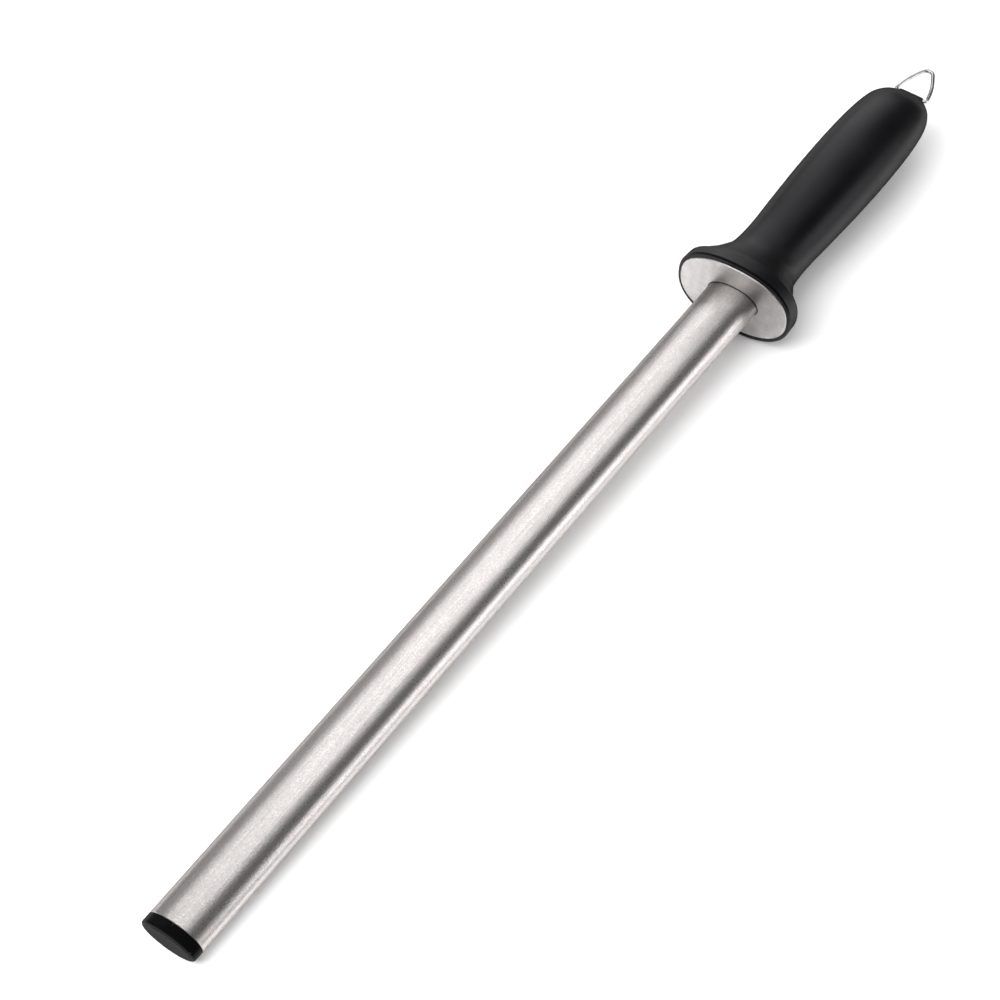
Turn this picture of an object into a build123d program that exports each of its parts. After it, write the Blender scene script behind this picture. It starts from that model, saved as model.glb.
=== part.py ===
from build123d import *
import math
import os

# Oval diamond-coated sharpening steel with a moulded grip and a wire hanging loop.
# Millimetres. Y runs along the steel: the tip points to -Y and the butt of the grip to +Y.
# X is across the broad face of the steel and Z is square to it. The origin is on the steel's
# axis, in the front face of the guard plate.

# Steel
STEEL_EXPOSED = 298.0       # from the guard plate to the end of the tip cap
STEEL_HALF_WIDTH = 9.75
STEEL_HALF_THICKNESS = 5.5
STEEL_WALL = 1.5
ROOT_DEPTH = 24.0           # length of the tube held inside the grip

# Tip cap
CAP_HEAD = 4.0
CAP_EDGE = 0.9
CAP_PAD_INSET = 0.35
CAP_PAD_HEIGHT = 0.15
CAP_SPIGOT = 13.0
CAP_SPIGOT_CLEARANCE = 0.15
CAP_RIB = 0.8
CAP_RIB_STARTS = (2.5, 6.0, 9.5)

# Guard plate, its seal and the flared guard that carries them
OVAL_FULLNESS = 2.3         # exponent of the guard's oval, where 2 would be an ellipse
PLATE_HALF_WIDTH = 21.15
PLATE_HALF_THICKNESS = 14.2
PLATE_GAUGE = 1.2
PLATE_BEVEL = 0.25
SEAL_LIP = 0.35
SEAL_FLANGE = 3.0
SEAL_GAUGE = 0.8
RIM_STATIONS = (             # distance behind the plate's face, half width, half thickness
    (0.3, 22.5, 16.65),
    (5.6, 22.4, 15.1),
    (5.95, 22.1, 14.8),
)
RIM_FRONT_RADIUS = 0.9
RIM_REST_HEIGHT = 16.31     # shallow flats over and under the rim, on which the steel lies steadily
FIT_GAP = 0.05

# End of the grip: a nose with a rounded end carries the hanging loop, and it closes the butt bore
BUTT_SEAM = 119.6
LOOP_PIVOT = 124.85
NOSE_RADIUS = 1.4
NOSE_HALF_WIDTH = 5.0
NOSE_CORNER = 0.5

# Grip: each station is (distance behind the plate, half width, half thickness, fullness)
GRIP_STATIONS = (
    (5.2, 21.9, 14.6, 2.3),
    (7.6, 20.3, 14.1, 2.3),
    (10.5, 17.8, 12.95, 2.28),
    (14.0, 15.7, 11.8, 2.24),
    (18.5, 13.55, 10.7, 2.18),
    (25.0, 12.8, 10.4, 2.15),
    (34.0, 12.85, 10.4, 2.12),
    (46.0, 13.45, 10.9, 2.12),
    (64.0, 14.2, 11.55, 2.12),
    (82.0, 14.5, 11.8, 2.12),
    (97.0, 14.25, 11.5, 2.12),
    (107.0, 13.6, 10.6, 2.12),
    (114.0, 12.5, 9.1, 2.15),
    (118.5, 10.65, 6.9, 2.2),
    (121.0, 8.75, 5.05, 2.25),
    (122.8, 6.8, 3.4, 2.3),
    (124.0, 5.6, 2.3, 2.3),
    (LOOP_PIVOT, 4.7, NOSE_RADIUS, 2.3),
)

# Screw that ties the steel to the grip
SCREW_RADIUS = 2.5
SCREW_LENGTH = 100.0
SCREW_CHANNEL_RADIUS = 2.8
HEAD_RADIUS = 4.25
HEAD_HEIGHT = 5.0
HEX_ACROSS_FLATS = 4.0
HEX_DEPTH = 2.5
SCREW_SEAT = 104.0
BUTT_BORE_RADIUS = 4.7
WASHER_RADIUS = 4.5
WASHER_HOLE_RADIUS = 2.65
WASHER_GAUGE = 1.0
LOCK_WASHER_RADIUS = 4.4
LOCK_WASHER_GAUGE = 1.2
LOCK_WASHER_SPLIT = 0.7

# Threaded anchor in the root of the tube, and its cross pins
ANCHOR_START = 4.0
PIN_RADIUS = 1.5
PIN_BORE_RADIUS = 0.9
PIN_SLOT = 0.6
PIN_HALF_LENGTH = 3.6
PIN_OFFSET = 5.6
PIN_PLACE = 14.0

# End plug and hanging loop
PLUG_SPIGOT = 8.0
WIRE_RADIUS = 0.75
WIRE_HOLE_RADIUS = 0.8
FOOT_INNER = 2.2
LEG_FOOT = (6.49, 0.0)      # corners of the wire's path: distance from the middle, height above the feet
LEG_BEND = (5.5, 6.5)
APEX_CORNER = (0.0, 17.5)
FOOT_BEND_RADIUS = 1.3
LEG_BEND_RADIUS = 25.0
APEX_RADIUS = 2.45
LOOP_REST_TILT = 6.5        # degrees that the loop stands up from the plane of the steel's broad face


def across(y):
    """The plane across the steel at distance y, facing the butt."""
    return Plane(origin=(0, y, 0), x_dir=(1, 0, 0), z_dir=(0, 1, 0))


def bar(y_start, y_end, outline):
    """An outline drawn on the XY plane, carried along the steel from y_start to y_end."""
    return extrude(across(y_start) * outline, amount=y_end - y_start)


def full_oval(half_width, half_thickness, fullness):
    """A closed oval, squarer than an ellipse where fullness is above 2."""
    count = 32
    points = []
    for i in range(count):
        angle = 2 * math.pi * i / count
        c = math.cos(angle)
        s = math.sin(angle)
        x = half_width * math.copysign(abs(c) ** (2 / fullness), c)
        z = half_thickness * math.copysign(abs(s) ** (2 / fullness), s)
        points.append((x, z))
    return make_face(Spline(*points, periodic=True))


def steel_oval(offset=0.0):
    """The outer section of the steel, grown or shrunk by offset."""
    return Ellipse(STEEL_HALF_WIDTH + offset, STEEL_HALF_THICKNESS + offset)


def along_z(x, y, radius, half_length):
    """A round bar along Z."""
    return Pos(x, y, 0) * Cylinder(radius, 2 * half_length)


def pin_places():
    """The centres of the two cross pins, one each side of the screw."""
    return [(-PIN_OFFSET, PIN_PLACE), (PIN_OFFSET, PIN_PLACE)]


def make_blade_tube():
    tube = bar(CAP_HEAD - STEEL_EXPOSED, ROOT_DEPTH, steel_oval())
    tube -= bar(CAP_HEAD - STEEL_EXPOSED, ROOT_DEPTH, steel_oval(-STEEL_WALL))
    for x, y in pin_places():
        tube -= along_z(x, y, PIN_RADIUS, 2 * STEEL_HALF_THICKNESS)
    return tube


def make_tip_cap():
    """Solid moulded plug: a head flush with the steel and a spigot with crush ribs."""
    end = CAP_PAD_HEIGHT - STEEL_EXPOSED
    shoulder = CAP_HEAD - STEEL_EXPOSED
    head = bar(end, shoulder, steel_oval())
    head = fillet(head.edges().group_by(Axis.Y)[0], CAP_EDGE)
    pad = bar(-STEEL_EXPOSED, end, steel_oval(-CAP_EDGE - CAP_PAD_INSET))
    spigot = bar(shoulder, shoulder + CAP_SPIGOT, steel_oval(-STEEL_WALL - CAP_SPIGOT_CLEARANCE))
    cap = head + pad + spigot
    for start in CAP_RIB_STARTS:
        cap += bar(shoulder + start, shoulder + start + CAP_RIB, steel_oval(-STEEL_WALL))
    return cap


def make_guard_plate():
    plate = bar(0, PLATE_GAUGE, full_oval(PLATE_HALF_WIDTH, PLATE_HALF_THICKNESS, OVAL_FULLNESS))
    plate = chamfer(plate.edges().group_by(Axis.Y)[0], PLATE_BEVEL)
    return plate - bar(0, PLATE_GAUGE, steel_oval(SEAL_LIP))


def make_blade_seal():
    """Moulded gasket: a lip round the steel in the plate's window and a flange behind it."""
    back = PLATE_GAUGE + SEAL_GAUGE
    seal = bar(0, PLATE_GAUGE, steel_oval(SEAL_LIP)) + bar(PLATE_GAUGE, back, steel_oval(SEAL_FLANGE))
    return seal - bar(0, back, steel_oval())


def rim():
    """The band round the guard, a little thinner towards its broken back edge."""
    band = loft([across(y) * full_oval(width, thickness, OVAL_FULLNESS)
                 for y, width, thickness in RIM_STATIONS], ruled=True)
    band = fillet(band.edges().group_by(Axis.Y)[0], RIM_FRONT_RADIUS)
    reach = 3 * RIM_STATIONS[0][1]
    return band & Box(reach, reach, 2 * RIM_REST_HEIGHT)


def grip_form():
    """The grip's whole outer form, from the flare behind the rim to the nose at the butt."""
    return loft([across(y) * full_oval(width, thickness, fullness)
                 for y, width, thickness, fullness in GRIP_STATIONS])


def make_handle_body():
    body = rim() + grip_form()
    body -= bar(BUTT_SEAM, LOOP_PIVOT, Circle(GRIP_STATIONS[0][1]))
    plate_seat = full_oval(PLATE_HALF_WIDTH + FIT_GAP, PLATE_HALF_THICKNESS + FIT_GAP, OVAL_FULLNESS)
    body -= bar(RIM_STATIONS[0][0], PLATE_GAUGE, plate_seat)
    body -= bar(PLATE_GAUGE, PLATE_GAUGE + SEAL_GAUGE, steel_oval(SEAL_FLANGE))
    body -= bar(PLATE_GAUGE, ROOT_DEPTH, steel_oval(FIT_GAP))
    body -= bar(ROOT_DEPTH, SCREW_SEAT, Circle(SCREW_CHANNEL_RADIUS))
    body -= bar(SCREW_SEAT, BUTT_SEAM, Circle(BUTT_BORE_RADIUS))
    return body


def make_anchor_block():
    """Steel insert that fills the root of the tube and takes the screw's thread."""
    block = bar(ANCHOR_START, ROOT_DEPTH, steel_oval(-STEEL_WALL))
    block -= bar(ANCHOR_START, ROOT_DEPTH, Circle(SCREW_RADIUS))
    for x, y in pin_places():
        block -= along_z(x, y, PIN_RADIUS, STEEL_HALF_THICKNESS)
    return block


def make_anchor_pins():
    """Two slotted spring pins through the tube and the anchor block."""
    pins = []
    for x, y in pin_places():
        pin = along_z(x, y, PIN_RADIUS, PIN_HALF_LENGTH)
        pin -= along_z(x, y, PIN_BORE_RADIUS, PIN_HALF_LENGTH)
        pin -= Pos(x, y + PIN_RADIUS, 0) * Box(PIN_SLOT, 2 * PIN_RADIUS, 2 * PIN_HALF_LENGTH)
        pins.append(pin)
    return Compound(children=pins)


def make_flat_washer():
    washer = Circle(WASHER_RADIUS) - Circle(WASHER_HOLE_RADIUS)
    return bar(SCREW_SEAT, SCREW_SEAT + WASHER_GAUGE, washer)


def make_lock_washer():
    start = SCREW_SEAT + WASHER_GAUGE
    washer = Circle(LOCK_WASHER_RADIUS) - Circle(WASHER_HOLE_RADIUS)
    washer -= Pos(LOCK_WASHER_RADIUS, 0) * Rectangle(2 * LOCK_WASHER_RADIUS, LOCK_WASHER_SPLIT)
    return bar(start, start + LOCK_WASHER_GAUGE, washer)


def make_tie_screw():
    """Socket head screw from the butt into the anchor block."""
    seat = SCREW_SEAT + WASHER_GAUGE + LOCK_WASHER_GAUGE
    top = seat + HEAD_HEIGHT
    screw = bar(seat, top, Circle(HEAD_RADIUS)) + bar(seat - SCREW_LENGTH, seat, Circle(SCREW_RADIUS))
    hexagon = RegularPolygon(HEX_ACROSS_FLATS / 2, 6, major_radius=False)
    return screw - bar(top - HEX_DEPTH, top, hexagon)


def make_end_plug():
    """Plug that closes the butt bore and forms the nose, flush with the grip."""
    nose = grip_form() & bar(BUTT_SEAM, LOOP_PIVOT, Circle(GRIP_STATIONS[0][1]))
    barrel = Rot(0, 90, 0) * Cylinder(NOSE_RADIUS, 2 * NOSE_HALF_WIDTH)
    barrel = fillet(barrel.edges().filter_by(GeomType.CIRCLE), NOSE_CORNER)
    plug = nose + Pos(0, LOOP_PIVOT, 0) * barrel
    plug += bar(BUTT_SEAM - PLUG_SPIGOT, BUTT_SEAM, Circle(BUTT_BORE_RADIUS))
    cross_hole = Rot(0, 90, 0) * Cylinder(WIRE_HOLE_RADIUS, 2 * GRIP_STATIONS[0][1])
    return plug - Pos(0, LOOP_PIVOT, 0) * cross_hole


def make_hanging_loop():
    """Spring wire bent to a pointed stirrup: its two feet turn in the nose's cross hole."""
    half = [(FOOT_INNER, 0.0), LEG_FOOT, LEG_BEND]
    left = [(-x, y, 0) for x, y in half]
    right = [(x, y, 0) for x, y in reversed(half)]
    radii = [FOOT_BEND_RADIUS, LEG_BEND_RADIUS, APEX_RADIUS, LEG_BEND_RADIUS, FOOT_BEND_RADIUS]
    path = FilletPolyline(*left, (*APEX_CORNER, 0), *right, radius=radii)
    section = Plane(origin=path @ 0, z_dir=path % 0) * Circle(WIRE_RADIUS)
    wire = sweep(section, path=path)
    return Pos(0, LOOP_PIVOT, 0) * Rot(LOOP_REST_TILT, 0, 0) * wire


PIECES = {
    "blade_tube": make_blade_tube,
    "tip_cap": make_tip_cap,
    "guard_plate": make_guard_plate,
    "blade_seal": make_blade_seal,
    "handle_body": make_handle_body,
    "anchor_block": make_anchor_block,
    "anchor_pins": make_anchor_pins,
    "flat_washer": make_flat_washer,
    "lock_washer": make_lock_washer,
    "tie_screw": make_tie_screw,
    "end_plug": make_end_plug,
    "hanging_loop": make_hanging_loop,
}

os.makedirs("parts", exist_ok=True)
for name, make in PIECES.items():
    export_step(make(), os.path.join("parts", name + ".step"))
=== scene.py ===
import math

import bpy
from mathutils import Matrix, Vector


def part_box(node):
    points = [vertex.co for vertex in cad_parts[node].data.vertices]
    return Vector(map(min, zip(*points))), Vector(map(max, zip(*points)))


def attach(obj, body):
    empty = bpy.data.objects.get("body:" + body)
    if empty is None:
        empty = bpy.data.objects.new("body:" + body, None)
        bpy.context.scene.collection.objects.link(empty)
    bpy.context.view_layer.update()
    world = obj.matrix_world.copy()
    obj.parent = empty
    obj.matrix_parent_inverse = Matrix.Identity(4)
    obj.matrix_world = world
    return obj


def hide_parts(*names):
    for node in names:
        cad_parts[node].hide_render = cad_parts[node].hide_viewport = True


# Oval diamond-coated sharpening steel with a moulded grip and a wire hanging loop. Metres.
# Y runs along the steel (tip to -Y, butt to +Y), X is across its broad face and Z is square to it.

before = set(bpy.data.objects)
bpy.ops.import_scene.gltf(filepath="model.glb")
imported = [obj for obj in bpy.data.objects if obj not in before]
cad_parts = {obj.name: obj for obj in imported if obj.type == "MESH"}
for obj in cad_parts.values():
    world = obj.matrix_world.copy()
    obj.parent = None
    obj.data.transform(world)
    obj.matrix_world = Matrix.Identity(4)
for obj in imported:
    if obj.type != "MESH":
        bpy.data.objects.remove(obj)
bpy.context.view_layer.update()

MM = 0.001
SEGMENTS = 192              # points round every closed section
SHARP_ANGLE = math.radians(35)

STEEL_WALL = 1.5 * MM
STEEL_END_CHAMFER = 0.12 * MM
STEEL_RINGS = 24

CAP_EDGE = 0.9 * MM
CAP_SOFTENING = 0.12 * MM   # on the pad's rim and on the head's joint with the tube
CAP_PAD_INSET = 0.35 * MM
CAP_PAD_HEIGHT = 0.15 * MM
CAP_HEAD = 4.0 * MM
CAP_SPIGOT_CLEARANCE = 0.15 * MM
CAP_RIB = 0.8 * MM
CAP_RIB_STARTS = (2.5 * MM, 6.0 * MM, 9.5 * MM)

OVAL_FULLNESS = 2.3
PLATE_HALF_WIDTH = 21.15 * MM
PLATE_HALF_THICKNESS = 14.2 * MM
PLATE_BEVEL = 0.25 * MM
SEAL_LIP = 0.35 * MM
SEAL_FLANGE = 3.0 * MM
SEAL_GAUGE = 0.8 * MM
FIT_GAP = 0.05 * MM

# Ends of the guard's rim: distance behind the plate's face, half width, half thickness
RIM_FRONT = (0.3 * MM, 22.48 * MM, 16.5 * MM)
RIM_BACK = (5.95 * MM, 22.38 * MM, 15.0 * MM)
RIM_RINGS = 6
LIP_BREAK = 0.08 * MM       # how far the lip round the plate is broken
RIM_FRONT_RADIUS = 0.9 * MM
RIM_BACK_RADIUS = 0.35 * MM

# Grip stations in millimetres: distance behind the plate, half width, half thickness, fullness
GRIP_STATIONS = (
    (5.2, 21.9, 14.6, 2.3),
    (7.6, 20.3, 14.1, 2.3),
    (10.5, 17.8, 12.95, 2.28),
    (14.0, 15.7, 11.8, 2.24),
    (18.5, 13.55, 10.7, 2.18),
    (25.0, 12.8, 10.4, 2.15),
    (34.0, 12.85, 10.4, 2.12),
    (46.0, 13.45, 10.9, 2.12),
    (64.0, 14.2, 11.55, 2.12),
    (82.0, 14.5, 11.8, 2.12),
    (97.0, 14.25, 11.5, 2.12),
    (107.0, 13.6, 10.6, 2.12),
    (114.0, 12.5, 9.1, 2.15),
    (118.5, 10.65, 6.9, 2.2),
    (121.0, 8.75, 5.05, 2.25),
    (122.8, 6.8, 3.4, 2.3),
    (124.0, 5.6, 2.3, 2.3),
    (124.85, 4.7, 1.4, 2.3),
)
SCREW_CHANNEL_RADIUS = 2.8 * MM
SCREW_SEAT = 104.0 * MM
BUTT_BORE_RADIUS = 4.7 * MM
GRIP_RINGS = 160
SEAM_HEIGHT = 0.03 * MM
SEAM_BREAK = 0.08 * MM      # how far the edges are broken where plug and grip meet

PLUG_SPIGOT = 8.0 * MM
PLUG_CHAMFER = 0.3 * MM
NOSE_RADIUS = 1.4 * MM
NOSE_HALF_WIDTH = 5.0 * MM
NOSE_CORNER = 0.5 * MM
NOSE_FULLNESS = 5.8
NOSE_FULLNESS_GAIN = 3.5    # from the grip's last stations to the nose
NOSE_END_HALF_THICKNESS = 0.03 * MM
NOSE_BLEND_START = 122.8 * MM
NOSE_RINGS = 24
LOOP_PIVOT = 124.85 * MM

WIRE_RADIUS = 0.75 * MM
WIRE_SIDES = 40
WIRE_END = ((0.0, 0.8), (0.06, 0.95), (0.15, 1.0))    # millimetres from the cut, share of the radius
WIRE_HOLE_RADIUS = 0.83 * MM                          # at 0.8 the clash tool found the swung wire touching it
WIRE_HOLE_SKIPS = 3                                   # the hole keeps one of so many points of a section

# The loop's corners in millimetres, across the steel and behind the pivot, and the bends between them
LOOP_CORNERS = ((2.2, 0.0), (6.49, 0.0), (5.5, 6.5), (0.0, 17.5), (-5.5, 6.5), (-6.49, 0.0), (-2.2, 0.0))
LOOP_RADII = (1.3, 25.0, 2.45, 25.0, 1.3)
LOOP_REST_TILT = math.radians(6.5)


# ---------------------------------------------------------------- shapes

def section(y, half_width, half_thickness, fullness=2.0):
    """A closed oval across the steel at distance y, squarer than an ellipse above fullness 2."""
    points = []
    for i in range(SEGMENTS):
        angle = 2 * math.pi * i / SEGMENTS
        c = math.cos(angle)
        s = math.sin(angle)
        x = half_width * math.copysign(abs(c) ** (2 / fullness), c)
        z = half_thickness * math.copysign(abs(s) ** (2 / fullness), s)
        points.append(Vector((x, y, z)))
    return points


def make_object(name, vertices, faces):
    """A new smooth-shaded object, with its sharp edges marked."""
    mesh = bpy.data.meshes.new(name)
    mesh.from_pydata([tuple(v) for v in vertices], [], faces)
    mesh.validate()
    mesh.polygons.foreach_set("use_smooth", [True] * len(mesh.polygons))
    mesh.set_sharp_from_angle(angle=SHARP_ANGLE)
    mesh.update()
    obj = bpy.data.objects.new(name, mesh)
    bpy.context.scene.collection.objects.link(obj)
    return obj


def skin(name, rings, ring_shaped=False):
    """Joins rings of equal count into one closed surface. A ring-shaped one meets its own start."""
    count = len(rings[0])
    vertices = [p for ring in rings for p in ring]
    faces = []
    spans = len(rings) if ring_shaped else len(rings) - 1
    for r in range(spans):
        a = r * count
        b = ((r + 1) % len(rings)) * count
        for i in range(count):
            j = (i + 1) % count
            faces.append((a + i, a + j, b + j, b + i))
    if not ring_shaped:
        faces.append(tuple(range(count))[::-1])
        last = (len(rings) - 1) * count
        faces.append(tuple(range(last, last + count)))
    return make_object(name, vertices, faces)


def quarter(steps):
    """Angles of a quarter turn, for a rounded edge."""
    return [0.5 * math.pi * i / steps for i in range(steps + 1)]


def spaced(start, end, steps):
    """Values from start to end, both included."""
    return [start + (end - start) * i / steps for i in range(steps + 1)]


def along_stations(stations, y):
    """Half width, half thickness and fullness at y, smoothly through the stations."""
    last = len(stations) - 2
    k = min(max(i for i in range(len(stations)) if stations[i][0] <= y or i == 0), last)
    before, start, end = stations[max(k - 1, 0)], stations[k], stations[k + 1]
    after = stations[min(k + 2, len(stations) - 1)]
    span = end[0] - start[0]
    t = (y - start[0]) / span
    values = []
    for i in (1, 2, 3):
        slope_in = span * (end[i] - before[i]) / (end[0] - before[0])
        slope_out = span * (after[i] - start[i]) / (after[0] - start[0])
        values.append(
            (2 * t**3 - 3 * t**2 + 1) * start[i] + (t**3 - 2 * t**2 + t) * slope_in
            + (3 * t**2 - 2 * t**3) * end[i] + (t**3 - t**2) * slope_out
        )
    return values


def half_sizes(node):
    """Half width, half thickness, and the first and last distance of a CAD node."""
    low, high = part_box(node)
    return high.x, high.z, low.y, high.y


# ---------------------------------------------------------------- materials

BLACK = (0.0, 0.0, 0.0)
WHITE = (1.0, 1.0, 1.0)
EDGE_STARTS = 0.52           # pointiness, which is 0.5 on a flat face and more on an outer edge
EDGE_IS_FULL = 0.6

# How strongly black plastic shines, from facing the eye (0) to turned away (1), as a share of its gloss
PLASTIC_SHINE = ((0.13, 0.1), (0.24, 1.0), (0.45, 1.0), (0.72, 0.42), (0.9, 0.1), (1.0, 0.0))


def new_material(name, colour, metallic, roughness):
    """A new material and its Principled shader. A pattern may later replace the even values set here."""
    material = bpy.data.materials.new(name)
    material.use_nodes = True
    shader = material.node_tree.nodes["Principled BSDF"]
    shader.inputs["Base Color"].default_value = (*colour, 1.0)
    shader.inputs["Metallic"].default_value = metallic
    shader.inputs["Roughness"].default_value = roughness
    return material, shader


def object_coordinates(material, stretch=(1, 1, 1)):
    """The piece's own coordinates in metres, with a pattern drawn out along an axis stretched below 1."""
    tree = material.node_tree
    coordinates = tree.nodes.new("ShaderNodeTexCoord")
    mapping = tree.nodes.new("ShaderNodeMapping")
    mapping.inputs["Scale"].default_value = stretch
    tree.links.new(coordinates.outputs["Object"], mapping.inputs["Vector"])
    return mapping.outputs["Vector"]


def noise(material, vector, scale, detail, rough):
    tree = material.node_tree
    node = tree.nodes.new("ShaderNodeTexNoise")
    node.inputs["Scale"].default_value = scale
    node.inputs["Detail"].default_value = detail
    node.inputs["Roughness"].default_value = rough
    tree.links.new(vector, node.inputs["Vector"])
    return node.outputs["Fac"]


def ramp(material, value, stops):
    """A colour ramp through (position, colour) stops."""
    tree = material.node_tree
    node = tree.nodes.new("ShaderNodeValToRGB")
    elements = node.color_ramp.elements
    while len(elements) < len(stops):
        elements.new(0.5)
    for element, (position, colour) in zip(elements, stops):
        element.position = position
        element.color = (*colour, 1.0)
    tree.links.new(value, node.inputs["Fac"])
    return node.outputs["Color"]


def spread(material, value, low, high):
    """Maps a pattern's usual range, 0.3 to 0.7, onto low to high."""
    tree = material.node_tree
    node = tree.nodes.new("ShaderNodeMapRange")
    node.inputs["From Min"].default_value = 0.3
    node.inputs["From Max"].default_value = 0.7
    node.inputs["To Min"].default_value = low
    node.inputs["To Max"].default_value = high
    tree.links.new(value, node.inputs["Value"])
    return node.outputs["Result"]


def blend_values(material, a, b, share):
    """A mix of two pattern values, with share of the second."""
    tree = material.node_tree
    node = tree.nodes.new("ShaderNodeMix")
    node.inputs["Factor"].default_value = share
    tree.links.new(a, node.inputs["A"])
    tree.links.new(b, node.inputs["B"])
    return node.outputs["Result"]


def bump(material, shader, height, distance, strength):
    tree = material.node_tree
    node = tree.nodes.new("ShaderNodeBump")
    node.inputs["Strength"].default_value = strength
    node.inputs["Distance"].default_value = distance
    tree.links.new(height, node.inputs["Height"])
    tree.links.new(node.outputs["Normal"], shader.inputs["Normal"])


def link(material, output, shader, socket):
    """Lets a pattern drive one of the shader's sockets."""
    material.node_tree.links.new(output, shader.inputs[socket])


def facing(material):
    """0 where the surface faces the eye and 1 where it turns away. It drives gloss only."""
    node = material.node_tree.nodes.new("ShaderNodeLayerWeight")
    node.inputs["Blend"].default_value = 0.5
    return node.outputs["Facing"]


def add_share(material, value, extra, share):
    """The value plus a share of the extra one."""
    node = material.node_tree.nodes.new("ShaderNodeMath")
    node.operation = "MULTIPLY_ADD"
    node.inputs[1].default_value = share
    material.node_tree.links.new(extra, node.inputs[0])
    material.node_tree.links.new(value, node.inputs[2])
    return node.outputs["Value"]


def edge_wear(material, pattern):
    """Outer edges: 0 on open faces, up to 1 on edges, broken up by a pattern. It marks rubbed wear, and on
    the plate also a painted highlight.
    """
    tree = material.node_tree
    geometry = tree.nodes.new("ShaderNodeNewGeometry")
    edges = tree.nodes.new("ShaderNodeMapRange")
    edges.inputs["From Min"].default_value = EDGE_STARTS
    edges.inputs["From Max"].default_value = EDGE_IS_FULL
    tree.links.new(geometry.outputs["Pointiness"], edges.inputs["Value"])
    both = tree.nodes.new("ShaderNodeMath")
    both.operation = "MULTIPLY"
    tree.links.new(edges.outputs["Result"], both.inputs[0])
    tree.links.new(spread(material, pattern, 0.2, 1.0), both.inputs[1])
    return both.outputs["Value"]


def near_end(material, start, full):
    """0 up to the distance start along the steel, rising to 1 at full."""
    tree = material.node_tree
    split = tree.nodes.new("ShaderNodeSeparateXYZ")
    tree.links.new(object_coordinates(material), split.inputs["Vector"])
    node = tree.nodes.new("ShaderNodeMapRange")
    node.inputs["From Min"].default_value = start
    node.inputs["From Max"].default_value = full
    tree.links.new(split.outputs["Y"], node.inputs["Value"])
    return node.outputs["Result"]


def coated_steel():
    """Nickel-bonded diamond grit: mottled grains, cloudy patches, rubbed streaks, and painted shade near the
    root by the guard, where the colour is darker and the finish a little rougher.
    """
    material, shader = new_material("diamond_coated_steel", (0.6, 0.575, 0.565), metallic=1.0, roughness=0.3)
    shader.inputs["Specular Tint"].default_value = (0.12, 0.118, 0.115, 1.0)
    coordinates = object_coordinates(material)
    clouds = noise(material, coordinates, scale=320, detail=5.0, rough=0.75)
    grains = noise(material, coordinates, scale=1900, detail=4.0, rough=0.85)
    grit = noise(material, coordinates, scale=2300, detail=3.0, rough=0.75)
    lengthwise = object_coordinates(material, (1, 0.02, 1))
    streaks = noise(material, lengthwise, scale=1500, detail=3.0, rough=0.6)
    mottle = blend_values(material, clouds, grains, share=0.84)
    mixed = blend_values(material, mottle, streaks, share=0.24)
    # Painted shade near the root: the colour darkens over the last 16 mm before the guard, and the finish
    # turns a little rougher with it.
    root = near_end(material, start=-16 * MM, full=-1 * MM)
    mixed = add_share(material, mixed, root, share=-0.09)
    tint = ramp(material, mixed, [(0.35, (0.43, 0.4, 0.388)), (0.65, (0.77, 0.738, 0.727))])
    link(material, tint, shader, "Base Color")
    grazing = ramp(material, facing(material), [(0.55, BLACK), (0.95, WHITE)])
    roughness = spread(material, mixed, low=0.35, high=0.23)
    link(material, add_share(material, roughness, grazing, share=0.6), shader, "Roughness")
    bump(material, shader, grit, distance=0.06 * MM, strength=0.6)
    return material


def plate_steel():
    """Satin stainless, brushed across the plate's width, with dull rub marks, and outer edges rubbed smoother
    and painted lighter as a highlight.
    """
    material, shader = new_material("satin_stainless", (0.58, 0.565, 0.557), metallic=1.0, roughness=0.3)
    lines = noise(material, object_coordinates(material, (0.04, 1, 1)), scale=3000, detail=2.0, rough=0.6)
    marks = noise(material, object_coordinates(material, (1, 1, 0.5)), scale=130, detail=5.0, rough=0.65)
    mixed = blend_values(material, lines, marks, share=0.6)
    # Painted highlight along the outer edges: their colour is lifted up to brighter than the steel itself,
    # together with the smoother finish of rubbed edges.
    mixed = add_share(material, mixed, edge_wear(material, marks), share=0.3)
    dull, clean, bright = (0.42, 0.407, 0.4), (0.6, 0.585, 0.577), (0.8, 0.8, 0.8)
    tint = ramp(material, mixed, [(0.36, dull), (0.6, clean), (0.9, bright)])
    link(material, tint, shader, "Base Color")
    link(material, spread(material, mixed, low=0.46, high=0.34), shader, "Roughness")
    bump(material, shader, lines, distance=0.01 * MM, strength=0.5)
    return material


def moulded_black(name, colour, roughness, grain, depth, gloss, worn):
    """Black moulded plastic: fine eroded texture, uneven gloss, edges rubbed lighter and smoother."""
    material, shader = new_material(name, colour, metallic=0.0, roughness=roughness)
    shader.inputs["Specular Tint"].default_value = (0.95, 0.93, 1.0, 1.0)
    coordinates = object_coordinates(material)
    fine = noise(material, coordinates, scale=grain, detail=2.0, rough=0.6)
    clouds = noise(material, coordinates, scale=60, detail=3.0, rough=0.5)
    wear = edge_wear(material, noise(material, coordinates, scale=700, detail=3.0, rough=0.6))
    shine = [(position, (share * gloss,) * 3) for position, share in PLASTIC_SHINE]
    link(material, ramp(material, facing(material), shine), shader, "Specular IOR Level")
    lighter = tuple(1.35 * c for c in colour)
    cloudy = add_share(material, clouds, wear, share=0.5)
    tint = ramp(material, cloudy, [(0.35, colour), (0.6, lighter), (1.0, (worn,) * 3)])
    link(material, tint, shader, "Base Color")
    mixed = blend_values(material, fine, clouds, share=0.5)
    mixed = add_share(material, mixed, wear, share=-0.3)
    grazing = ramp(material, facing(material), [(0.5, BLACK), (1.0, WHITE)])
    uneven = spread(material, mixed, low=roughness - 0.06, high=roughness + 0.06)
    link(material, add_share(material, uneven, grazing, share=0.4), shader, "Roughness")
    bump(material, shader, fine, distance=depth, strength=0.5)
    return material


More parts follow.
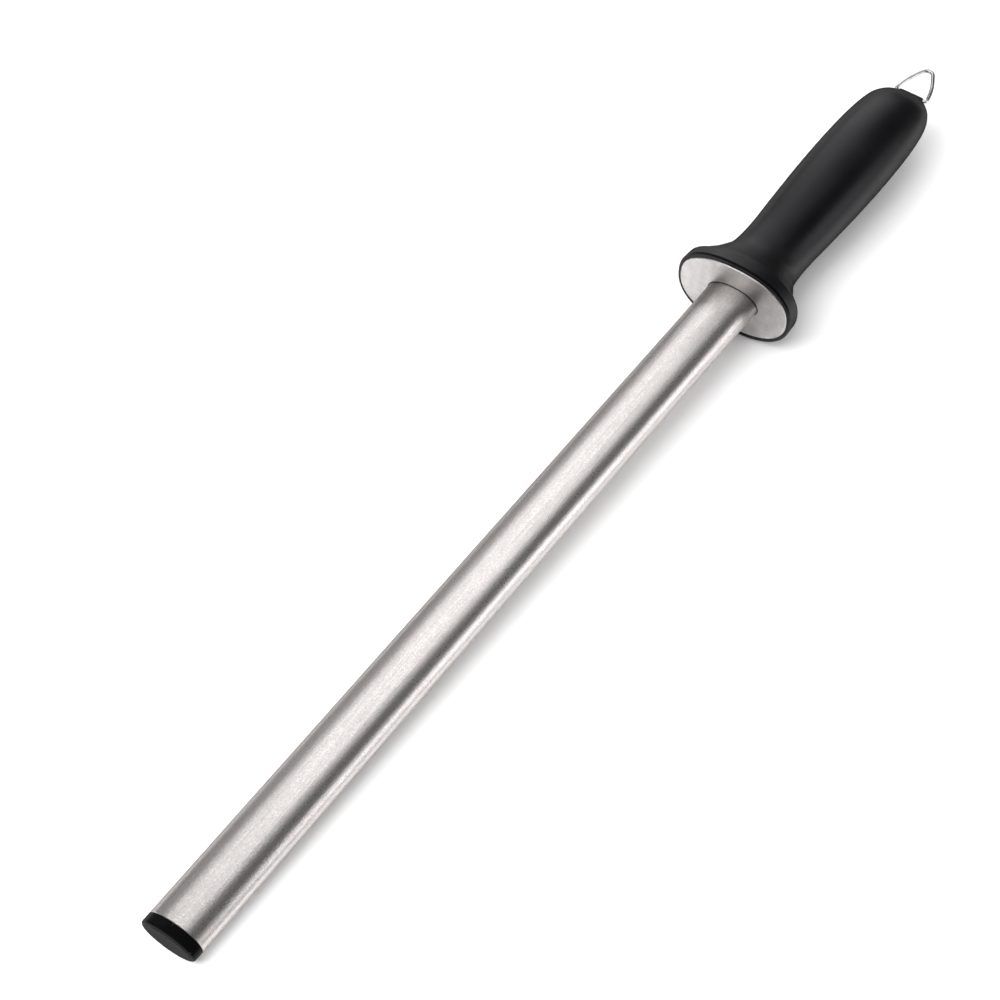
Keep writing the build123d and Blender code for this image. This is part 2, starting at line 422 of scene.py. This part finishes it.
def drawn_wire():
    """Bright stainless wire, faintly tarnished, with drawing marks along its length."""
    material, shader = new_material("drawn_wire", (0.6, 0.6, 0.6), metallic=1.0, roughness=0.2)
    shader.inputs["Specular Tint"].default_value = (0.03, 0.03, 0.03, 1.0)
    tarnish = noise(material, object_coordinates(material), scale=400, detail=4.0, rough=0.6)
    tint = ramp(material, tarnish, [(0.35, (0.5, 0.5, 0.51)), (0.6, (0.68, 0.68, 0.68))])
    link(material, tint, shader, "Base Color")
    marks = noise(material, object_coordinates(material, (1, 0.1, 1)), scale=4000, detail=2.0, rough=0.5)
    link(material, spread(material, marks, low=0.14, high=0.28), shader, "Roughness")
    bump(material, shader, marks, distance=0.01 * MM, strength=0.4)
    return material


def zinc_plate():
    """Zinc-plated fasteners, slightly cloudy."""
    material, shader = new_material("zinc_plate", (0.52, 0.53, 0.55), metallic=1.0, roughness=0.38)
    clouds = noise(material, object_coordinates(material), scale=700, detail=3.0, rough=0.6)
    tint = ramp(material, clouds, [(0.3, (0.45, 0.46, 0.48)), (0.7, (0.60, 0.61, 0.62))])
    link(material, tint, shader, "Base Color")
    link(material, spread(material, clouds, low=0.3, high=0.46), shader, "Roughness")
    return material


def paint(obj, material):
    """Gives the object this one material."""
    obj.data.materials.clear()
    obj.data.materials.append(material)


def finish_piece(obj, body, slot, material, *replaced):
    """Paints a modelled piece, hangs it under its body and hides the CAD nodes it stands for. The slot
    argument is not used.
    """
    paint(obj, material)
    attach(obj, body)
    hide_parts(*replaced)


# ---------------------------------------------------------------- pieces

def make_steel():
    """The tube, with its two ends lightly broken and its bore open."""
    width, thickness, start, end = half_sizes("blade_tube")
    c = STEEL_END_CHAMFER
    rings = []
    for y, inset in ((start, c), (start + c, 0), (start + 2 * c, 0)):
        rings.append(section(y, width - inset, thickness - inset))
    for y in spaced(start + 10 * c, end - 10 * c, STEEL_RINGS):
        rings.append(section(y, width, thickness))
    for y, inset in ((end - c, 0), (end, c)):
        rings.append(section(y, width - inset, thickness - inset))
    for y in (end, end - 2 * c, start + 2 * c, start):
        rings.append(section(y, width - STEEL_WALL, thickness - STEEL_WALL))
    return skin("steel_tube", rings, ring_shaped=True)


def make_cap():
    """The tip cap: raised oval pad, rounded edge, flush head and a spigot with crush ribs."""
    width, thickness, start, end = half_sizes("tip_cap")
    pad = CAP_EDGE + CAP_PAD_INSET
    face = start + CAP_PAD_HEIGHT
    shoulder = start + CAP_HEAD
    soft = CAP_SOFTENING
    rings = []
    for inset, y in ((pad + 2 * soft, start), (pad + soft, start), (pad, start + 0.5 * soft),
                     (pad, face - 0.3 * soft), (pad - soft, face), (CAP_EDGE + soft, face)):
        rings.append(section(y, width - inset, thickness - inset))
    for angle in quarter(steps=10):
        inset = CAP_EDGE * (1 - math.sin(angle))
        rings.append(section(face + CAP_EDGE * (1 - math.cos(angle)), width - inset, thickness - inset))
    for inset, y in ((0, shoulder - 3 * soft), (0, shoulder - 2 * soft),
                     (soft, shoulder - soft), (soft, shoulder)):
        rings.append(section(y, width - inset, thickness - inset))
    bore = STEEL_WALL
    slack = STEEL_WALL + CAP_SPIGOT_CLEARANCE
    rings.append(section(shoulder, width - slack, thickness - slack))
    for rib in CAP_RIB_STARTS:
        for inset, y in ((slack, shoulder + rib), (bore, shoulder + rib),
                         (bore, shoulder + rib + CAP_RIB), (slack, shoulder + rib + CAP_RIB)):
            rings.append(section(y, width - inset, thickness - inset))
    rings.append(section(end, width - slack, thickness - slack))
    return skin("cap_moulding", rings)


def make_guard_disc():
    """The guard plate: a bevelled oval disc with an oval window."""
    width, thickness, front, back = half_sizes("guard_plate")
    steel_width, steel_thickness = half_sizes("blade_tube")[:2]
    hole = (steel_width + SEAL_LIP, steel_thickness + SEAL_LIP)
    b = PLATE_BEVEL
    window = section(front, hole[0], hole[1])
    outline = section(front, width, thickness, OVAL_FULLNESS)
    rings = [window, section(front, hole[0] + b, hole[1] + b)]
    for share in spaced(0.15, 0.92, steps=6):
        rings.append([p.lerp(q, share) for p, q in zip(window, outline)])
    for inset, y in ((b + 0.1 * MM, front), (b, front), (0, front + b), (0, back)):
        rings.append(section(y, width - inset, thickness - inset, OVAL_FULLNESS))
    rings.append(section(back, hole[0], hole[1]))
    return skin("guard_disc", rings, ring_shaped=True)


def raise_seam(ring):
    """The mould's parting line: a hair-fine ridge down each side of the grip."""
    for i in (0, SEGMENTS // 2):
        ring[i].x += math.copysign(SEAM_HEIGHT, ring[i].x)
    return ring


def grip_section(y, inset=0.0):
    """The grip's outer outline at distance y, with the parting line on it."""
    half_width, half_thickness, fullness = along_stations(GRIP_STATIONS, y / MM)
    ring = section(y, half_width * MM - inset, half_thickness * MM - inset, fullness)
    return raise_seam(ring)


def make_grip():
    """The moulded grip: lip round the plate, rim, flare, grip, and the bores inside."""
    end = half_sizes("handle_body")[3]
    plate_back = half_sizes("guard_plate")[3]
    steel_width, steel_thickness, _, root = half_sizes("blade_tube")
    front, width, thickness = RIM_FRONT
    back, back_width, back_thickness = RIM_BACK
    rings = []
    lip = (PLATE_HALF_WIDTH + FIT_GAP, PLATE_HALF_THICKNESS + FIT_GAP)
    for y, inset in ((plate_back, 0), (front + LIP_BREAK, 0), (front, LIP_BREAK)):
        rings.append(section(y, lip[0] + inset, lip[1] + inset, OVAL_FULLNESS))
    profile = []
    for angle in quarter(steps=12):
        y = front + RIM_FRONT_RADIUS * (1 - math.cos(angle))
        profile.append((y, RIM_FRONT_RADIUS * (1 - math.sin(angle))))
    for y in spaced(profile[-1][0] + 0.2 * MM, back - 1.5 * RIM_BACK_RADIUS, RIM_RINGS):
        profile.append((y, 0.0))
    for angle in quarter(steps=6):
        y = back - RIM_BACK_RADIUS * (1 - math.sin(angle))
        profile.append((y, RIM_BACK_RADIUS * (1 - math.cos(angle))))
    for y, inset in profile:
        share = (y - front) / (back - front)
        rings.append(section(y, width + share * (back_width - width) - inset,
                             thickness + share * (back_thickness - thickness) - inset, OVAL_FULLNESS))
    rings.append(grip_section(back))
    for y in spaced(back + 0.3 * MM, end - 2 * SEAM_BREAK, GRIP_RINGS):
        rings.append(grip_section(y))
    rings.append(grip_section(end - SEAM_BREAK))
    rings.append(grip_section(end, SEAM_BREAK))
    for y, radius in ((end, BUTT_BORE_RADIUS), (SCREW_SEAT, BUTT_BORE_RADIUS),
                      (SCREW_SEAT, SCREW_CHANNEL_RADIUS), (root, SCREW_CHANNEL_RADIUS)):
        rings.append(section(y, radius, radius))
    seal_back = plate_back + SEAL_GAUGE
    for y, gap in ((root, FIT_GAP), (seal_back, FIT_GAP),
                   (seal_back, SEAL_FLANGE), (plate_back, SEAL_FLANGE)):
        rings.append(section(y, steel_width + gap, steel_thickness + gap))
    return skin("grip_moulding", rings, ring_shaped=True)


def cut_away(obj, cutter):
    """Takes the cutter out of the object and deletes the cutter."""
    modifier = obj.modifiers.new("cut", "BOOLEAN")
    modifier.operation = "DIFFERENCE"
    modifier.solver = "EXACT"
    modifier.object = cutter
    graph = bpy.context.evaluated_depsgraph_get()
    mesh = bpy.data.meshes.new_from_object(obj.evaluated_get(graph))
    obj.modifiers.clear()
    obj.data = mesh
    mesh.set_sharp_from_angle(angle=SHARP_ANGLE)
    bpy.data.objects.remove(cutter)


def make_nose():
    """The end plug: a spigot in the butt bore, and a nose flush with the grip that ends in a round bar."""
    seam = half_sizes("handle_body")[3]
    end = LOOP_PIVOT + NOSE_RADIUS
    chamfered = BUTT_BORE_RADIUS - PLUG_CHAMFER
    rings = [section(seam - PLUG_SPIGOT, chamfered, chamfered),
             section(seam - PLUG_SPIGOT + PLUG_CHAMFER, BUTT_BORE_RADIUS, BUTT_BORE_RADIUS),
             section(seam, BUTT_BORE_RADIUS, BUTT_BORE_RADIUS),
             grip_section(seam, SEAM_BREAK),
             grip_section(seam + SEAM_BREAK)]
    for y in spaced(seam + 2 * SEAM_BREAK, NOSE_BLEND_START, NOSE_RINGS):
        rings.append(grip_section(y))
    for y in spaced(NOSE_BLEND_START + 0.1 * MM, LOOP_PIVOT, NOSE_RINGS):
        half_width, half_thickness, fullness = along_stations(GRIP_STATIONS, y / MM)
        share = (y - NOSE_BLEND_START) / (LOOP_PIVOT - NOSE_BLEND_START)
        half_width = max(half_width * MM, NOSE_HALF_WIDTH)
        fullness += NOSE_FULLNESS_GAIN * share ** 2
        rings.append(section(y, half_width, half_thickness * MM, fullness))
    for angle in quarter(steps=14)[1:]:
        y = LOOP_PIVOT + NOSE_RADIUS * math.sin(angle)
        over = max(0.0, y - (end - NOSE_CORNER))
        corner = NOSE_CORNER - math.sqrt(max(NOSE_CORNER ** 2 - over ** 2, 0.0))
        half_thickness = max(NOSE_RADIUS * math.cos(angle), NOSE_END_HALF_THICKNESS)
        rings.append(section(y, NOSE_HALF_WIDTH - corner, half_thickness, NOSE_FULLNESS))
    nose = skin("butt_nose", rings)
    reach = 2 * NOSE_HALF_WIDTH
    hole = []
    for x in (-reach, reach):
        ring = section(0.0, WIRE_HOLE_RADIUS, WIRE_HOLE_RADIUS)[::WIRE_HOLE_SKIPS]
        hole.append([Vector((x, LOOP_PIVOT + p.x, p.z)) for p in ring])
    cut_away(nose, skin("cross_hole", hole))
    return nose


def bent_path(corners, radii, steps):
    """A polyline whose inner corners are rounded to the given radii."""
    points = [Vector(corners[0])]
    for before, corner, after, radius in zip(corners, corners[1:], corners[2:], radii):
        corner = Vector(corner)
        back = (Vector(before) - corner).normalized()
        onward = (Vector(after) - corner).normalized()
        half = 0.5 * back.angle(onward)
        centre = corner + (back + onward).normalized() * radius / math.sin(half)
        first = corner + back * radius / math.tan(half) - centre
        last = corner + onward * radius / math.tan(half) - centre
        turn = first.angle(last)
        for i in range(steps + 1):
            share = i / steps
            spoke = (math.sin((1 - share) * turn) * first + math.sin(share * turn) * last) / math.sin(turn)
            points.append(centre + spoke)
    points.append(Vector(corners[-1]))
    return points


def make_loop():
    """The wire loop: round wire with softly cut ends, bent to a pointed stirrup."""
    path = bent_path(LOOP_CORNERS, LOOP_RADII, steps=24)
    tilt = Matrix.Translation((0, LOOP_PIVOT, 0)) @ Matrix.Rotation(LOOP_REST_TILT, 4, "X")
    rings = []
    for k, point in enumerate(path):
        ahead = path[min(k + 1, len(path) - 1)] - path[max(k - 1, 0)]
        ahead.normalize()
        side = Vector((-ahead.y, ahead.x))
        cuts = [(0.0, 1.0)]
        if k == 0:
            cuts = WIRE_END
        elif k == len(path) - 1:
            cuts = [(-shift, share) for shift, share in reversed(WIRE_END)]
        for shift, share in cuts:
            centre = point + ahead * shift
            ring = []
            for i in range(WIRE_SIDES):
                angle = 2 * math.pi * i / WIRE_SIDES
                out = share * WIRE_RADIUS / MM * math.cos(angle)
                up = share * WIRE_RADIUS / MM * math.sin(angle)
                flat = centre + side * out
                ring.append(tilt @ Vector((flat.x * MM, flat.y * MM, up * MM)))
            rings.append(ring)
    return skin("wire_loop", rings)


# ---------------------------------------------------------------- studio

FLOOR_CONTACT_TIP = (-0.29695, -0.0055)          # distance along the steel and height
FLOOR_CONTACT_GUARD = (0.00125, -0.01631)
TABLE_HALF_SIZE = 3.0
TABLE_GLOW = 0.04                                # a faint light of the table top's own

CAMERA_PLACE = (0.2408, -0.4867, 0.5801)
CAMERA_TARGET = (-0.01446, -0.1175, 0.0)
CAMERA_ROLL = math.radians(0.737)
CAMERA_SENSOR = 36.0                             # millimetres, as is the lens
CAMERA_LENS = 82.8
CAMERA_CLIP = (0.01, 20.0)

ROOM_LIGHT = 0.1
# Lamps that the steel mirrors: name, place, target, width, height, radiance
SOFTBOXES = (
    ("key", (-0.225, 0.165, 0.62), (0.0, 0.0, 0.0), 0.7, 0.6, 1.55),
    ("left_back", (-0.56, 0.91, 0.43), (0.0, 0.08, 0.0), 0.74, 0.52, 1.9),
    ("left_low", (-0.70, 0.16, 0.30), (0.0, 0.05, 0.0), 0.5, 0.6, 0.3),
    ("right_strip", (0.6, 0.27, 0.24), (0.0, 0.15, 0.0), 0.37, 0.68, 2.0),
    ("front_card", (-0.35, -0.85, 0.9), (0.0, -0.05, 0.0), 1.1, 0.8, 2.2),
)
# Lamps that light the table and leave no reflection, listed in the same way
FILLS = (
    ("front_fill", (-0.35, -1.2, 1.6), (0.0, -0.1, 0.0), 2.0, 1.4, 5.2),
    ("right_fill", (1.2, -0.2, 1.4), (0.0, -0.1, 0.0), 1.6, 1.6, 0.9),
)


def make_floor():
    """A plain pale table top, tilted so that the steel lies on its guard and its tip."""
    y_tip, z_tip = FLOOR_CONTACT_TIP
    y_guard, z_guard = FLOOR_CONTACT_GUARD
    slope = (z_guard - z_tip) / (y_guard - y_tip)
    size = TABLE_HALF_SIZE
    corners = []
    for x, y in ((-size, -size), (size, -size), (size, size), (-size, size)):
        corners.append((x, y, z_tip + slope * (y - y_tip)))
    floor = make_object("table_top", corners, [(0, 1, 2, 3)])
    material, shader = new_material("pale_table", (0.9, 0.9, 0.9), metallic=0.0, roughness=0.8)
    shader.inputs["Emission Color"].default_value = (*WHITE, 1.0)
    shader.inputs["Emission Strength"].default_value = TABLE_GLOW
    paint(floor, material)


def look_at(obj, target, roll):
    """Turns the object's view to the target, rolled about the line of sight."""
    direction = Vector(target) - obj.location
    turn = direction.to_track_quat("-Z", "Y").to_matrix().to_4x4()
    obj.matrix_world = Matrix.Translation(obj.location) @ turn @ Matrix.Rotation(roll, 4, "Z")


def make_camera():
    """The camera at the photograph's viewing angle."""
    data = bpy.data.cameras.new("camera")
    data.sensor_width = CAMERA_SENSOR
    data.lens = CAMERA_LENS
    data.clip_start, data.clip_end = CAMERA_CLIP
    camera = bpy.data.objects.new("camera", data)
    bpy.context.scene.collection.objects.link(camera)
    camera.location = CAMERA_PLACE
    look_at(camera, CAMERA_TARGET, CAMERA_ROLL)
    bpy.context.scene.camera = camera


def softbox(name, place, target, width, height, radiance):
    """A rectangular area lamp of an even radiance, with its height lying along the steel."""
    data = bpy.data.lights.new(name, "AREA")
    data.shape = "RECTANGLE"
    data.size = width
    data.size_y = height
    data.energy = radiance * math.pi * width * height
    light = bpy.data.objects.new(name, data)
    bpy.context.scene.collection.objects.link(light)
    light.location = place
    direction = (Vector(target) - light.location).normalized()
    along = Vector((0, 1, 0))
    side = along.cross(-direction).normalized()
    along = (-direction).cross(side)
    light.matrix_world = Matrix.Translation(place) @ Matrix((side, along, -direction)).transposed().to_4x4()
    return light


def make_studio():
    """Softboxes above, at both sides and in front, two fill lamps for the table, and a faint room light."""
    world = bpy.data.worlds.new("studio")
    world.use_nodes = True
    background = world.node_tree.nodes["Background"]
    background.inputs["Color"].default_value = (*WHITE, 1.0)
    background.inputs["Strength"].default_value = ROOM_LIGHT
    bpy.context.scene.world = world
    for lamp in SOFTBOXES:
        softbox(*lamp)
    for lamp in FILLS:
        softbox(*lamp).visible_glossy = False
    bpy.context.scene.view_settings.view_transform = "Standard"


make_camera()

steel_finish = coated_steel()
plate_finish = plate_steel()
cap_finish = moulded_black("cap_plastic", (0.002, 0.002, 0.002), roughness=0.28, grain=2500,
                           depth=0.02 * MM, gloss=0.09, worn=0.03)
grip_finish = moulded_black("grip_plastic", (0.0014, 0.0014, 0.0018), roughness=0.38, grain=2200,
                            depth=0.03 * MM, gloss=0.25, worn=0.008)
seal_finish = moulded_black("seal_rubber", (0.003, 0.003, 0.003), roughness=0.6, grain=3000,
                            depth=0.02 * MM, gloss=0.25, worn=0.008)
zinc_finish = zinc_plate()
wire_finish = drawn_wire()

finish_piece(make_steel(), "steel", "coated_steel", steel_finish, "blade_tube")
finish_piece(make_cap(), "steel", "cap_plastic", cap_finish, "tip_cap")
finish_piece(make_guard_disc(), "steel", "plate_steel", plate_finish, "guard_plate")
finish_piece(make_grip(), "steel", "grip_plastic", grip_finish, "handle_body")
finish_piece(make_nose(), "steel", "plug_plastic", grip_finish, "end_plug")
finish_piece(make_loop(), "loop", "wire_steel", wire_finish, "hanging_loop")

for node in ("anchor_block", "anchor_pins", "flat_washer", "lock_washer", "tie_screw"):
    paint(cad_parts[node], zinc_finish)
paint(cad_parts["blade_seal"], seal_finish)

make_floor()
make_studio()
